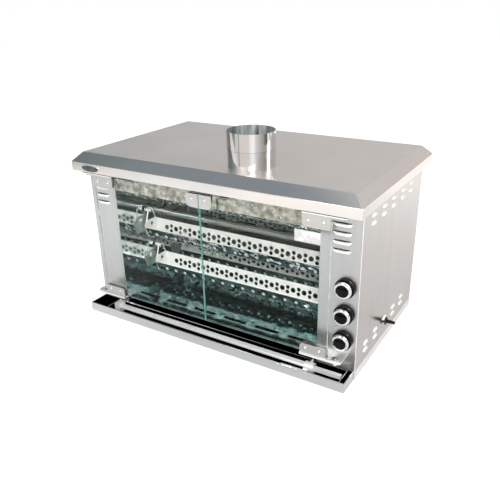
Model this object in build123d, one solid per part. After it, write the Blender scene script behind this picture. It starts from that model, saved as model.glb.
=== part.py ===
from build123d import *
import math
import os

# Gas rotisserie grill: glass-doored cabinet, planetary cradle rotor, drip drawer
# Millimetres. +Z up, +X right, +Y towards the back. Origin on the floor under the cabinet's centre.

# Cabinet
body_w = 1025.0
body_d = 548.0
sheet = 1.2
bottom_t = 1.5
rail_h = 30.0
rail_t = 2.0
rail_flange = 25.0
rail_proud = 0.8
panel_top = 586.0
left_col_w = 114.0
right_col_w = 126.0
header_bottom = 472.0
header_flange = 14.0
fold_r = 1.0

# Cooking chamber
floor_z = 60.0
floor_lip = 9.0
roof_z = 530.0
chamber_back_gap = 26.0
drain_count = 6
drain_length = 90.0
drain_w = 16.0
drain_setback = 34.0
drain_margin = 14.5

# Hood
hood_front = 62.0
hood_side = 17.0
hood_back = 50.0
lip_bottom = 543.0
lip_top = 573.0
hood_top = 604.0
bevel_in = 31.0
hood_bend = 3.0
bearer_w = 20.0
bearer_inset = 60.0

# Flue
flue_x = 111.0
flue_setback = 83.0
flue_r = 75.0
flue_wall = 1.0
collar_bottom = 659.0
flue_top = 713.0
spigot_overlap = 14.0
bead_h = 2.5
bead_in = 0.4
flue_flange_w = 6.0
slip = 0.2

# Badge place on the lip
badge_inset = 88.5
badge_l = 84.0
badge_h = 27.0
badge_t = 1.5

# Louvres
louvre_t = 1.0
louvre_slit = 1.5
front_louvre_l = 57.0
front_louvre_h = 12.0
front_louvre_rise = 6.0
front_louvre_pitch = 26.5
front_louvre_drop = 83.5
front_louvre_count = 4
right_louvre_inset = 60.5
left_louvre_inset = 54.5
side_louvre_l = 34.0
side_louvre_h = 10.0
side_louvre_rise = 5.0
side_louvre_first = 81.0
side_louvre_last = 123.0
side_louvre_count = 5
side_louvre_low = 40.0
side_louvre_high = 72.0
side_louvre_step = 25.0
inlet_keepout = 12.5
extra_louvre_y = 111.0
extra_louvre_drop = 49.0
back_louvre_drop = 77.5
back_louvre_step = 30.0
back_louvre_margin = 192.5
back_louvre_count = 5

# Doors
door_y = 48.0
glass_t = 6.0
glass_inset = 72.5
glass_corner = 2.0
glass_gap = 3.0
glass_bottom = 92.0
glass_top = 531.0
pivot_inset = 44.5
pivot_r = 4.0
pivot_nut_r = 6.0
pivot_nut_h = 9.0
pivot_clear = 0.08
patch_w = 86.0
patch_t = 5.0
patch_gap = 0.3
lower_patch_h = 27.0
upper_patch_h = 36.0
patch_fillet = 12.0
inner_screw_inset = 67.0
outer_screw_inset = 21.0
screw_r = 5.0
screw_h = 2.5
screw_inset = 15.0
bracket_t = 6.0
bracket_inset = 25.5
bracket_front = 60.0
bracket_corner = 12.0
bracket_clear = 0.3
upper_bracket_lip = 14.0
catch_w = 46.0
catch_h = 44.0
catch_t = 2.0
catch_corner = 16.0
catch_screw_x = 24.0
magnet_w = 38.0
magnet_h = 18.0
magnet_gap = 0.5

# Drawer
tray_front = 79.0
tray_z = 3.8
tray_h = 31.5
tray_t = 1.2
tray_side_gap = 1.0
tray_clear = 3.0
tray_back_clear = 20.0
runner_w = 16.0
runner_gap = 0.3
runner_inset = 30.0
pan_left_gap = 77.5
pan_right_gap = 18.5
pan_t = 1.0
pan_h = 29.0
pan_gap = 2.0
pan_seat = 0.01

# Loose spit lying in the drawer's front trough
spit_y = 33.0
spit_w = 21.0
spit_t = 7.0
spit_rise = 8.0
spit_bevel = 1.5
spit_left_gap = 37.0
spit_right_gap = 132.0
spit_block = 22.0
spit_hub_r = 17.0
spit_hub_l = 30.0
spit_shank = 12.0
spit_end_gap = 10.0
wing_l = 20.0
wing_t = 4.0
fork_r = 3.0
fork_gap = 20.0
fork_l = 76.0
fork_drop = 6.0
fork_yoke_l = 15.0
hub_start = 2.0
hub_bore_clear = 0.2
clamp_r = 4.0
clamp_h = 8.0
clamp_end = 8.0
spit_rest_gap = 0.31

# Rotor
rotor_offset = 8.0
rotor_rise = 12.0
orbit_r = 137.0
cradle_count = 5
first_angle = 158.7
tube_r = 14.0
tube_wall = 2.0
stub_r = 10.0
stub_l = 60.0
stub_in = 30.0
stub_over = 6.0
plug_l = 8.0
hub_hole_clear = 4.0
spider_t = 4.0
spider_gap = 6.0
spider_hub_r = 34.0
spider_arm_w = 22.0
pin_r = 4.0
pin_over = 3.0
pin_clear = 0.08
sleeve_clear = 0.3
bearing_r = 26.0
bearing_t = 12.0
bearing_clear = 0.05

# Cradle, measured from its pivot
cradle_drop = 50.0
cradle_end_gap = 22.0
cradle_t = 1.5
trough_front = 38.0
trough_front_drop = 5.0
trough_floor_front = 24.0
trough_floor_back = 24.5
trough_depth = 45.0
trough_back = 32.5
trough_back_rise = 12.0
cradle_corner = 12.0
end_edge = 1.0
end_shoulder = 8.0
end_flat = 22.0
end_top = 18.0
wire_r = 2.5
weld = 0.5
hanger_top = 12.0
hanger_foot = 29.0
hanger_foot_z = 4.0
sleeve_r = 7.0
hole_first = 49.0
hole_pitch = 43.0
back_hole_r = 9.3
back_upper_hole_r = 7.3
back_lower_hole_r = 7.0
floor_hole_r = 5.0
front_hole_r = 6.5
rosette_hole_r = 7.0
rosette_small_r = 2.2
rosette_ring_r = 13.0
rosette_count = 8

# Burners
burner_count = 3
burner_low = 140.0
burner_pitch = 122.0
burner_r = 10.0
burner_wall = 1.5
burner_cap = 2.0
burner_setback = 16.0
burner_clear = 0.05
port_w = 2.0
port_l = 10.0
port_margin = 32.5
port_count = 20
deflector_h = 60.0
deflector_top = 30.0
deflector_low = 20.0
deflector_t = 1.5
deflector_end = 12.0
burner_bracket_t = 3.0
burner_bracket_inset = 62.5
burner_bracket_d = 26.0

# Gas train in the right compartment
knob_inset = 42.5
knob_low = 133.0
knob_pitch = 87.0
manifold_w = 20.0
manifold_wall = 2.0
manifold_y = 62.0
manifold_under = 29.0
manifold_over = 27.0
valve_w = 28.0
valve_h = 34.0
valve_start = 12.0
valve_bush_r = 9.0
valve_port_h = 16.0
valve_port_gap = 4.0
valve_port_l = 28.0
valve_floor = 6.0
pipe_r = 4.0
pipe_bend = 20.0
pipe_slope = 60.0
outlet_offset = 30.0
elbow_offset = 32.0
inlet_r = 7.0
inlet_y = 253.0
inlet_drop = 22.0
inlet_bend = 18.0
neck_r = 7.0
neck_l = 5.0
neck_clear = 0.2
hex_af = 23.0
hex_l = 4.0
tail_r = 6.0
tail_l = 16.0
tail_tip_r = 4.0
tail_tip_l = 13.0
tail_bore_r = 3.0

# Knobs
stem_r = 4.0
stem_clear = 0.05
stem_hole_r = 7.0
push = 4.0
knob_gap = 5.0
knob_base_r = 31.0
knob_base_t = 9.0
knob_body_r = 24.0
knob_core_r = 19.5
ring_front = 28.0
ring_r = 27.0
ring_t = 7.0
ring_gap = 0.2
core_recess = 2.0
grip_out = 32.0
grip_w = 15.0
stem_depth = 16.0
stem_end_gap = 1.0
plunger_r = 3.0
plunger_l = 12.0

# Gear motor in the left compartment
motor_r = 24.0
motor_l = 58.0
gearbox_w = 90.0
gearbox_h = 70.0
gearbox_l = 30.0
gearbox_over = 25.0
gearbox_bore = 12.0
motor_foot_t = 4.0
coupling_r = 16.0
coupling_l = 26.0
coupling_gap = 0.3

front = -body_d / 2
back = body_d / 2
left = -body_w / 2
right = body_w / 2
panel_y0 = front + sheet
chamber_l = left + left_col_w
chamber_r = right - right_col_w
chamber_w = chamber_r - chamber_l
chamber_back = back - chamber_back_gap
mid_x = (chamber_l + chamber_r) / 2
flue_y = front + flue_setback

badge_x = left - hood_side + badge_inset
right_louvre_x = right - right_louvre_inset
left_louvre_x = left + left_louvre_inset

door_plane = front - door_y
glass_edge = right - glass_inset
door_pivot = right - pivot_inset
patch_in = glass_edge - patch_w
screw_xs = (glass_edge - inner_screw_inset, glass_edge - outer_screw_inset)

pan_left = left + pan_left_gap
pan_right = right - pan_right_gap
pan_z = tray_z + tray_t + pan_seat
spit_left = pan_left + spit_left_gap
spit_right = pan_right - spit_right_gap
spit_end = pan_right - spit_end_gap

rotor_at = (front + chamber_back) / 2 + rotor_offset
rotor_z = (floor_z + roof_z) / 2 + rotor_rise
spider_l = chamber_l + spider_gap
spider_r = chamber_r - spider_gap
cradle_l = spider_l + cradle_end_gap
cradle_r = spider_r - cradle_end_gap

burner_at = chamber_back - burner_setback
burner_heights = [burner_low + i * burner_pitch for i in range(burner_count)]
knob_x = right - knob_inset
knob_heights = [knob_low + i * knob_pitch for i in range(burner_count)]
manifold_low = knob_low - manifold_under
manifold_high = knob_heights[-1] + manifold_over
outlet_x = knob_x - outlet_offset
burner_end = outlet_x - elbow_offset
inlet_z = manifold_low - inlet_drop

cradle_profile = [
    (-trough_front, -trough_front_drop - cradle_drop),
    (-trough_floor_front, -trough_depth - cradle_drop),
    (trough_floor_back, -trough_depth - cradle_drop),
    (trough_back, trough_back_rise - cradle_drop),
]

made = {}


def block(x0, x1, y0, y1, z0, z1):
    """Box between two corners."""
    at = Pos((x0 + x1) / 2, (y0 + y1) / 2, (z0 + z1) / 2)
    return at * Box(x1 - x0, y1 - y0, z1 - z0)


def rod(axis, a, b, u, v, r):
    """Cylinder along X, Y or Z from a to b; u and v are its other two coordinates in X, Y, Z order."""
    mid = (a + b) / 2
    if axis == "x":
        return Pos(mid, u, v) * Rot(0, 90, 0) * Cylinder(r, b - a)
    if axis == "y":
        return Pos(u, mid, v) * Rot(90, 0, 0) * Cylinder(r, b - a)
    return Pos(u, v, mid) * Cylinder(r, b - a)


def profile_x(points, x0, x1):
    """Prism along X from (y, z) points."""
    face = Plane.YZ.offset(x0) * make_face(Polyline(*points, close=True))
    return extrude(face, amount=x1 - x0, dir=(1, 0, 0))


def keep(name, shape):
    """Store one node, as separate solids where there are several."""
    solids = shape if isinstance(shape, list) else [shape]
    found = [s for item in solids for s in item.solids()]
    made[name] = found[0] if len(found) == 1 else Compound(children=found)


def scoop(length, radius, height, sink, low, high):
    """Lower half of a round-ended bulge on the XY plane: a rod with ball ends, cut to a box."""
    reach = length / 2 - height
    bulge = rod("x", -reach, reach, 0, -sink, radius)
    for x in (-reach, reach):
        bulge += Pos(x, 0, -sink) * Sphere(radius)
    return bulge & block(-length / 2, length / 2, 0, height, low, high)


def add_louvres(panel, places, length, height, rise):
    """Press louvres into a panel; a place is the middle of the opening, with +Z along the outward normal
    and +Y away from the opening."""
    radius = (height ** 2 + rise ** 2) / (2 * rise)
    sink = radius - rise
    hood_part = scoop(length, radius, height, sink, 0, rise)
    hollow = scoop(length, radius - louvre_t, height, sink, -sheet, rise)
    reach = length / 2 - louvre_t
    slit = block(-reach, reach, -louvre_slit, 0, -sheet, 0)
    for place in places:
        panel = panel + place * hood_part - place * hollow - place * slit
    return panel


def side_panel(x_out, sign):
    """One side sheet with its two banks of louvres."""
    x_in = x_out - sign * sheet
    panel = block(min(x_out, x_in), max(x_out, x_in), panel_y0, back - sheet, rail_h, panel_top)
    pitch = (body_d - side_louvre_first - side_louvre_last) / (side_louvre_count - 1)
    low = rail_h + side_louvre_low
    high = panel_top - side_louvre_high
    centres = [(front + extra_louvre_y, panel_top - extra_louvre_drop)]
    for i in range(side_louvre_count):
        y = front + side_louvre_first + i * pitch
        for z in (low, low + side_louvre_step, high - side_louvre_step, high):
            if sign < 0 or math.hypot(y - front - inlet_y, z - inlet_z) > inlet_keepout:
                centres.append((y, z))
    if sign > 0:
        panel -= rod("x", x_in - sheet, x_out + sheet, front + inlet_y, inlet_z, neck_r + neck_clear)
    places = []
    for y, z in centres:
        mouth = z - side_louvre_h / 2
        plane = Plane(origin=(x_out, y, mouth), x_dir=(0, sign, 0), z_dir=(sign, 0, 0))
        places.append(plane.location)
    return add_louvres(panel, places, side_louvre_l, side_louvre_h, side_louvre_rise)


def front_louvre_places(x):
    """Louvres of a front column, open upwards."""
    places = []
    for i in range(front_louvre_count):
        top = panel_top - front_louvre_drop - i * front_louvre_pitch
        plane = Plane(origin=(x, front, top), x_dir=(-1, 0, 0), z_dir=(0, -1, 0))
        places.append(plane.location)
    return places


def build_base():
    """Bottom sheet and the angle rails round it."""
    keep("bottom_panel", block(left, right, front, back, 0, bottom_t))
    outer = left - rail_proud
    leg = block(outer, outer + rail_t, front, back, bottom_t, rail_h)
    foot = block(outer + rail_t, left + rail_flange, panel_y0, back, bottom_t, bottom_t + rail_t)
    left_rail = leg + foot
    inner = outer + rail_t
    leg = block(inner, -inner, back - rail_t, back, bottom_t + rail_t, rail_h)
    foot = block(left + rail_flange, right - rail_flange, chamber_back + sheet, back - rail_t,
                 bottom_t, bottom_t + rail_t)
    leg += block(left + rail_flange, right - rail_flange, back - rail_t, back, bottom_t, bottom_t + rail_t)
    keep("base_rails", [left_rail, mirror(left_rail, about=Plane.YZ), leg + foot])


def build_panels():
    """Outer sheets of the cabinet."""
    keep("left_side_panel", side_panel(left, -1))
    keep("right_side_panel", side_panel(right, 1))
    back_sheet = block(left, right, back - sheet, back, rail_h, panel_top)
    pitch = (body_w - 2 * back_louvre_margin) / (back_louvre_count - 1)
    places = []
    for i in range(back_louvre_count):
        x = left + back_louvre_margin + i * pitch
        for z in (panel_top - back_louvre_drop, panel_top - back_louvre_drop - back_louvre_step):
            plane = Plane(origin=(x, back, z), x_dir=(1, 0, 0), z_dir=(0, 1, 0))
            places.append(plane.location)
    back_sheet = add_louvres(back_sheet, places, front_louvre_l, front_louvre_h, front_louvre_rise)
    keep("back_panel", back_sheet)
    foot = right + rail_proud - rail_t
    column = block(-foot, chamber_l, front, panel_y0, bottom_t, rail_h)
    column += block(left, chamber_l, front, panel_y0, rail_h, panel_top)
    corner = column.edges().filter_by(Axis.Z).group_by(Axis.X)[0].sort_by(Axis.Y)[0]
    column = fillet(corner, fold_r)
    places = front_louvre_places(left_louvre_x)
    column = add_louvres(column, places, front_louvre_l, front_louvre_h, front_louvre_rise)
    keep("left_front_column", column)
    panel = block(chamber_r, foot, front, panel_y0, bottom_t, rail_h)
    panel += block(chamber_r, right, front, panel_y0, rail_h, panel_top)
    corner = panel.edges().filter_by(Axis.Z).group_by(Axis.X)[-1].sort_by(Axis.Y)[0]
    panel = fillet(corner, fold_r)
    for z in knob_heights:
        panel -= rod("y", front - sheet, panel_y0 + sheet, knob_x, z, stem_hole_r)
    places = front_louvre_places(right_louvre_x)
    panel = add_louvres(panel, places, front_louvre_l, front_louvre_h, front_louvre_rise)
    keep("control_panel", panel)
    rail = block(chamber_l, chamber_r, front, panel_y0, header_bottom, panel_top)
    rail += block(chamber_l, chamber_r, panel_y0, front + header_flange, header_bottom, header_bottom + sheet)
    keep("header_rail", rail)


def build_chamber():
    """Polished inner walls, floor and roof of the cooking chamber."""
    hub_r = stub_r + hub_hole_clear
    hub_cut = rod("x", chamber_l - 2 * sheet, chamber_r + 2 * sheet, rotor_at, rotor_z, hub_r)
    wall_l = block(chamber_l - sheet, chamber_l, panel_y0, chamber_back + sheet, bottom_t, roof_z)
    keep("left_liner", wall_l - hub_cut)
    wall_r = block(chamber_r, chamber_r + sheet, panel_y0, chamber_back + sheet, bottom_t, roof_z)
    wall_r -= hub_cut
    for z in burner_heights:
        r = burner_r + burner_clear
        wall_r -= rod("x", chamber_r - sheet, chamber_r + 2 * sheet, burner_at, z, r)
    keep("right_liner", wall_r)
    keep("back_liner", block(chamber_l, chamber_r, chamber_back, chamber_back + sheet, bottom_t, roof_z))
    floor = block(chamber_l, chamber_r, panel_y0, chamber_back, floor_z - sheet, floor_z)
    floor += block(chamber_l, chamber_r, panel_y0, panel_y0 + sheet, floor_z - floor_lip, floor_z)
    pitch = (chamber_w - 2 * drain_margin) / drain_count
    y = front + drain_setback
    for i in range(drain_count):
        x0 = mid_x + (i - (drain_count - 1) / 2) * pitch - drain_length / 2
        floor -= block(x0, x0 + drain_length, y, y + drain_w, floor_z - 2 * sheet, floor_z + sheet)
    keep("floor_pan", floor)
    roof = block(chamber_l - sheet, chamber_r + sheet, panel_y0, chamber_back + sheet, roof_z, roof_z + sheet)
    roof -= rod("z", roof_z - sheet, roof_z + 2 * sheet, flue_x, flue_y, flue_r - 2 * flue_wall)
    keep("roof_liner", roof)


def hood_block(shrink, low, high, bend):
    """Solid of the hood's form, shrunk sideways, cut to a height and with its folds rounded."""
    x0 = left - hood_side + shrink
    x1 = right + hood_side - shrink
    y0 = front - hood_front + shrink
    y1 = back + hood_back - shrink
    lower = Pos((x0 + x1) / 2, (y0 + y1) / 2, low) * Rectangle(x1 - x0, y1 - y0)
    lip = Pos((x0 + x1) / 2, (y0 + y1) / 2, lip_top) * Rectangle(x1 - x0, y1 - y0)
    inset = 2 * bevel_in
    upper = Pos((x0 + x1) / 2, (y0 + y1) / 2, high) * Rectangle(x1 - x0 - inset, y1 - y0 - inset)
    form = extrude(lower, amount=lip_top - low) + loft([lip, upper])
    folds = form.edges().group_by(Axis.Z)[1:]
    return fillet([edge for group in folds for edge in group], bend)


def build_hood():
    """Folded top with bevels and lip, its bearers and the bare badge place."""
    hood = hood_block(0, lip_bottom, hood_top, hood_bend)
    hood -= hood_block(sheet, lip_bottom - sheet, hood_top - sheet, hood_bend - sheet)
    hood -= rod("z", hood_top - 3 * sheet, hood_top + sheet, flue_x, flue_y, flue_r - flue_wall)
    keep("hood", hood)
    bearers = []
    for x in (left + bearer_inset, right - bearer_inset - bearer_w):
        bearers.append(block(x, x + bearer_w, front, back, panel_top, hood_top - sheet))
    keep("hood_bearers", bearers)
    face = SlotOverall(badge_l, badge_h)
    z = (lip_bottom + lip_top) / 2
    at = Plane(origin=(badge_x, front - hood_front, z), x_dir=(1, 0, 0), z_dir=(0, -1, 0))
    badge = extrude(at * face, amount=badge_t)
    keep("badge_plate", fillet(badge.edges().group_by(Axis.Y)[0], badge_t * 0.5))


def build_flue():
    """Spigot through the hood and the slip-on collar."""
    y = flue_y
    base = roof_z + sheet
    r = flue_r - flue_wall - slip
    spigot = rod("z", base, collar_bottom + spigot_overlap, flue_x, y, r)
    spigot += rod("z", base, base + sheet, flue_x, y, flue_r + flue_flange_w)
    spigot += rod("z", collar_bottom - bead_h, collar_bottom, flue_x, y, flue_r - bead_in)
    spigot -= rod("z", base - sheet, collar_bottom + 2 * spigot_overlap, flue_x, y, r - flue_wall)
    keep("flue_spigot", spigot)
    collar = rod("z", collar_bottom, flue_top, flue_x, y, flue_r)
    collar -= rod("z", collar_bottom - sheet, flue_top + sheet, flue_x, y, flue_r - flue_wall)
    keep("flue_collar", collar)


def glass_pane(sign):
    """One tempered glass leaf with its upright edges' corners eased."""
    x_in = sign * glass_gap / 2
    x_out = sign * glass_edge
    y0 = door_plane - glass_t / 2
    pane = block(min(x_in, x_out), max(x_in, x_out), y0, y0 + glass_t, glass_bottom, glass_top)
    return fillet(pane.edges().filter_by(Axis.Y), glass_corner)


def patch_side(sign, y0, y1, z0, z1, round_high):
    """One clamp cheek, with the corner towards the door's middle rounded."""
    x_in = sign * patch_in
    x_out = sign * glass_edge
    cheek = block(min(x_in, x_out), max(x_in, x_out), y0, y1, z0, z1)
    edges = cheek.edges().filter_by(Axis.Y)
    inner = edges.sort_by(Axis.X)[:2] if sign > 0 else edges.sort_by(Axis.X)[2:]
    corner = inner.sort_by(Axis.Z)[-1] if round_high else inner.sort_by(Axis.Z)[0]
    return fillet(corner, patch_fillet)


def door_patch(sign, lower):
    """Clamp of two cheeks joined by a shoe that runs out to the pivot."""
    y_f = door_plane - glass_t / 2 - patch_gap
    y_b = door_plane + glass_t / 2 + patch_gap
    if lower:
        z0 = glass_bottom - patch_gap - patch_t
        z1 = glass_bottom + lower_patch_h
        shoe_z = (z0, glass_bottom - patch_gap)
    else:
        z0 = glass_top - upper_patch_h
        z1 = glass_top + patch_gap + patch_t
        shoe_z = (glass_top + patch_gap, z1)
    x0, x1 = sorted((sign * (patch_in + patch_fillet), sign * door_pivot))
    patch = patch_side(sign, y_f - patch_t, y_f, z0, z1, lower)
    patch += patch_side(sign, y_b, y_b + patch_t, z0, z1, lower)
    patch += block(x0, x1, y_f - patch_t, y_b + patch_t, *shoe_z)
    patch += rod("z", *shoe_z, sign * door_pivot, door_plane, (y_b - y_f) / 2 + patch_t)
    patch -= rod("z", shoe_z[0] - 1, shoe_z[1] + 1, sign * door_pivot, door_plane, pivot_r + pivot_clear)
    return patch


def catch_plate(sign):
    """Rounded plate at the top centre of a leaf, on both faces of the glass."""
    y_f = door_plane - glass_t / 2 - patch_gap
    x0, x1 = sorted((sign * glass_gap / 2, sign * (glass_gap / 2 + catch_w)))
    z1 = glass_top
    plate = block(x0, x1, y_f - catch_t, y_f, z1 - catch_h, z1)
    edges = plate.edges().filter_by(Axis.Y)
    outer = edges.sort_by(Axis.X)[2:] if sign > 0 else edges.sort_by(Axis.X)[:2]
    plate = fillet(outer.sort_by(Axis.Z)[0], catch_corner)
    y_b = door_plane + glass_t / 2 + patch_gap
    strike = block(x0, x1, y_b, y_b + catch_t, z1 - catch_h / 2, z1)
    return plate, strike


def door_screws(sign):
    """Domed screw heads of a leaf's clamps and catch plate."""
    y_f = door_plane - glass_t / 2 - patch_gap
    heads = []
    for x in screw_xs:
        for z in (glass_bottom + screw_inset, glass_top - screw_inset):
            heads.append((sign * x, y_f - patch_t, z))
    heads.append((sign * catch_screw_x, y_f - catch_t, glass_top - screw_inset))
    screws = []
    for x, y, z in heads:
        head = rod("y", y - screw_h, y, x, z, screw_r)
        screws.append(fillet(head.edges().group_by(Axis.Y)[0], screw_h * 0.6))
    return screws


def build_doors():
    """Two glass leaves with their clamps, catch plates and screws."""
    for name, sign in (("left", -1), ("right", 1)):
        plate, strike = catch_plate(sign)
        keep(name + "_door_glass", glass_pane(sign))
        keep(name + "_door_fittings", [door_patch(sign, True), door_patch(sign, False), plate, strike])
        keep(name + "_door_screws", door_screws(sign))


def build_brackets():
    """Pivot brackets on the columns and magnetic catches under the header."""
    y_front = front - bracket_front
    low_top = glass_bottom - patch_gap - patch_t - bracket_clear
    high_low = glass_top + patch_gap + patch_t + bracket_clear
    brackets = []
    for sign in (-1, 1):
        x0, x1 = sorted((sign * patch_in, sign * (right - bracket_inset)))
        plate = block(x0, x1, y_front, front, low_top - bracket_t, low_top)
        corners = plate.edges().filter_by(Axis.Z).sort_by(Axis.Y)[:2].sort_by(Axis.X)
        plate = fillet(corners[-1] if sign > 0 else corners[0], bracket_corner)
        x, y = sign * door_pivot, door_plane
        pin = rod("z", low_top - bracket_t, glass_bottom - patch_gap, x, y, pivot_r)
        nut = rod("z", low_top - bracket_t - pivot_nut_h, low_top - bracket_t, x, y, pivot_nut_r)
        brackets.append(plate + pin + nut)
        plate = block(x0, x1, y_front, front, high_low, high_low + bracket_t / 2)
        plate += block(x0, x1, front - bracket_t / 2, front, high_low, high_low + upper_bracket_lip)
        pin = rod("z", glass_top + patch_gap, high_low, sign * door_pivot, door_plane, pivot_r)
        brackets.append(plate + pin)
    keep("door_brackets", brackets)
    catches = []
    y_strike = door_plane + glass_t / 2 + patch_gap + catch_t + magnet_gap
    for sign in (-1, 1):
        x = sign * catch_screw_x
        x0 = x - magnet_w / 2
        catches.append(block(x0, x0 + magnet_w, y_strike, front, glass_top - magnet_h, glass_top))
    keep("magnetic_catches", catches)


def tray_shell(x0, x1, y0, y1, z0, z1, t):
    """Open-topped sheet tray."""
    return block(x0, x1, y0, y1, z0, z1) - block(x0 + t, x1 - t, y0 + t, y1 - t, z0 + t, z1 + t)


def build_drawer():
    """Drip drawer with its wide front trough, the insert pan and the runners."""
    y0 = front - tray_front
    y_mid = front - tray_clear
    y1 = chamber_back - tray_back_clear
    x0 = chamber_l + tray_clear
    x1 = chamber_r - tray_clear
    z1 = tray_z + tray_h
    t = tray_t
    end = right - tray_side_gap
    outer = block(-end, end, y0, y_mid, tray_z, z1) + block(x0, x1, y_mid, y1, tray_z, z1)
    inner = block(t - end, end - t, y0 + t, y_mid - t, tray_z + t, z1 + t)
    inner += block(x0 + t, x1 - t, y_mid - 2 * t, y1 - t, tray_z + t, z1 + t)
    keep("drip_tray", outer - inner)
    pan_y0 = y0 + t + pan_gap
    pan_y1 = y_mid - t - pan_gap
    keep("insert_pan", tray_shell(pan_left, pan_right, pan_y0, pan_y1, pan_z, pan_z + pan_h, pan_t))
    runners = []
    for x in (x0 + runner_inset, x1 - runner_inset - runner_w):
        runners.append(block(x, x + runner_w, front + tray_clear, y1, bottom_t, tray_z - runner_gap))
    keep("tray_runners", runners)


def build_spit():
    """Flat spit bar with bevelled top edges, its end block, fork clamp and square shank."""
    y = front - spit_y
    z = pan_z + pan_t + spit_rest_gap + spit_hub_r
    top = z + spit_rise
    half = spit_w / 2
    shoulder = top - spit_bevel
    points = [(y - half, top - spit_t), (y + half, top - spit_t), (y + half, shoulder)]
    points += [(y + half - spit_bevel, top), (y - half + spit_bevel, top), (y - half, shoulder)]
    bar = profile_x(points, spit_left, spit_right)
    half = spit_hub_r
    bar += block(spit_left - spit_block, spit_left, y - half, y + half, z - half, z + half)
    half = spit_shank / 2
    bar += block(spit_right, spit_end, y - half, y + half, z - half, z + half)
    keep("spit_bar", bar)
    x0 = spit_right + hub_start
    hub = rod("x", x0, x0 + spit_hub_l, y, z, spit_hub_r)
    bore = spit_shank / 2 + hub_bore_clear
    for sign in (-1, 1):
        tine = rod("x", x0 - fork_l, x0 + fork_yoke_l, y + sign * fork_gap, z - fork_drop, fork_r)
        ys = sorted((y, y + sign * (fork_gap + fork_r)))
        hub += tine + block(x0, x0 + fork_yoke_l, *ys, z - fork_drop - fork_r, z)
    hub -= block(x0 - 1, x0 + spit_hub_l + 1, y - bore, y + bore, z - bore, z + bore)
    post_x = x0 + spit_hub_l - clamp_end
    z0 = z + spit_hub_r
    hub += rod("z", z + bore, z0 + clamp_h, post_x, y, clamp_r)
    z0 += clamp_h / 4
    hub += block(post_x - wing_t / 2, post_x + wing_t / 2, y - wing_l / 2, y + wing_l / 2, z0, z0 + clamp_h)
    keep("spit_fork", hub)


def pivot_places():
    """Centres (y, z) of the cradle pivots round the rotor."""
    found = []
    for i in range(cradle_count):
        a = math.radians(first_angle + i * 360 / cradle_count)
        found.append((rotor_at + orbit_r * math.cos(a), rotor_z + orbit_r * math.sin(a)))
    return found


def spider(x0, x1):
    """Star plate that carries one end of the cradles."""
    star = rod("x", x0, x1, rotor_at, rotor_z, spider_hub_r)
    for i in range(cradle_count):
        a = first_angle + i * 360 / cradle_count
        arm = block(x0, x1, 0, orbit_r, -spider_arm_w / 2, spider_arm_w / 2)
        star += Pos(0, rotor_at, rotor_z) * Rot(a, 0, 0) * arm
    for y, z in pivot_places():
        star += rod("x", x0, x1, y, z, spider_arm_w / 2)
        star -= rod("x", x0 - 1, x1 + 1, y, z, pin_r)
    return star - rod("x", x0 - 1, x1 + 1, rotor_at, rotor_z, stub_r)


def build_rotor():
    """Through tube with stub shafts, star plates, pivot pins, bearings and the drive coupling."""
    left_end = chamber_l - stub_l
    right_end = chamber_r + sheet + bearing_t + stub_over
    tube_l = spider_l + spider_t
    tube_r_end = spider_r - spider_t
    tube = rod("x", tube_l, tube_r_end, rotor_at, rotor_z, tube_r)
    tube -= rod("x", spider_l, spider_r, rotor_at, rotor_z, tube_r - tube_wall)
    for a, b in ((left_end, tube_l + stub_in), (tube_r_end - stub_in, right_end)):
        tube += rod("x", a, b, rotor_at, rotor_z, stub_r)
    ring = tube_r - tube_wall / 2
    for a, b in ((tube_l, tube_l + plug_l), (tube_r_end - plug_l, tube_r_end)):
        tube += rod("x", a, b, rotor_at, rotor_z, ring)
    keep("rotor_tube", tube)
    keep("rotor_spiders", [spider(spider_l, tube_l), spider(tube_r_end, spider_r)])
    pins = []
    for y, z in pivot_places():
        pins.append(rod("x", spider_l, cradle_l + pin_over, y, z, pin_r))
        pins.append(rod("x", cradle_r - pin_over, spider_r, y, z, pin_r))
    keep("pivot_pins", pins)
    bearings = []
    for a in (chamber_l - sheet - bearing_t, chamber_r + sheet):
        bearing = rod("x", a, a + bearing_t, rotor_at, rotor_z, bearing_r)
        bearing -= rod("x", a - 1, a + bearing_t + 1, rotor_at, rotor_z, stub_r + bearing_clear)
        bearings.append(bearing)
    keep("rotor_bearings", bearings)
    start = chamber_l - sheet - bearing_t - coupling_gap - coupling_l
    coupling = rod("x", start, start + coupling_l, rotor_at, rotor_z, coupling_r)
    keep("motor_coupling", coupling - rod("x", start - 1, start + coupling_l + 1, rotor_at, rotor_z, stub_r))
    box_end = left_end + gearbox_bore
    box_start = box_end - gearbox_l
    box_top = rotor_z + gearbox_over
    box_low = box_top - gearbox_w
    y0 = rotor_at - gearbox_h / 2
    y1 = rotor_at + gearbox_h / 2
    motor = block(box_start, box_end, y0, y1, box_low, box_top)
    motor += rod("z", box_low - motor_l, box_low, box_start + gearbox_l / 2, rotor_at, motor_r)
    motor += block(box_start, chamber_l - sheet, y0, y1, box_low, box_low + motor_foot_t)
    motor -= rod("x", left_end - coupling_gap, box_end + 1, rotor_at, rotor_z, stub_r + bearing_clear)
    keep("gear_motor", motor)


def wall_holes(p0, p1, rows):
    """Round holes through one wall of the trough, from rows of (share up the wall, radius, pitch shift)."""
    run = math.dist(p0, p1)
    across = ((p1[0] - p0[0]) / run, (p1[1] - p0[1]) / run)
    plane_z = (0, -across[1], across[0])
    start = cradle_l + hole_first
    plane = Plane(origin=(0, p0[0], p0[1]), x_dir=(1, 0, 0), z_dir=plane_z)
    flip = 1 if plane.y_dir.Y * across[0] + plane.y_dir.Z * across[1] > 0 else -1
    discs = []
    for share, r, shift in rows:
        x = start + shift * hole_pitch
        while x < cradle_r - 2 * r:
            discs.append(Pos(x, flip * share * run) * Circle(r))
            x += hole_pitch
    return extrude(plane * (Sketch() + discs), amount=3 * cradle_t, both=True)


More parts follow.
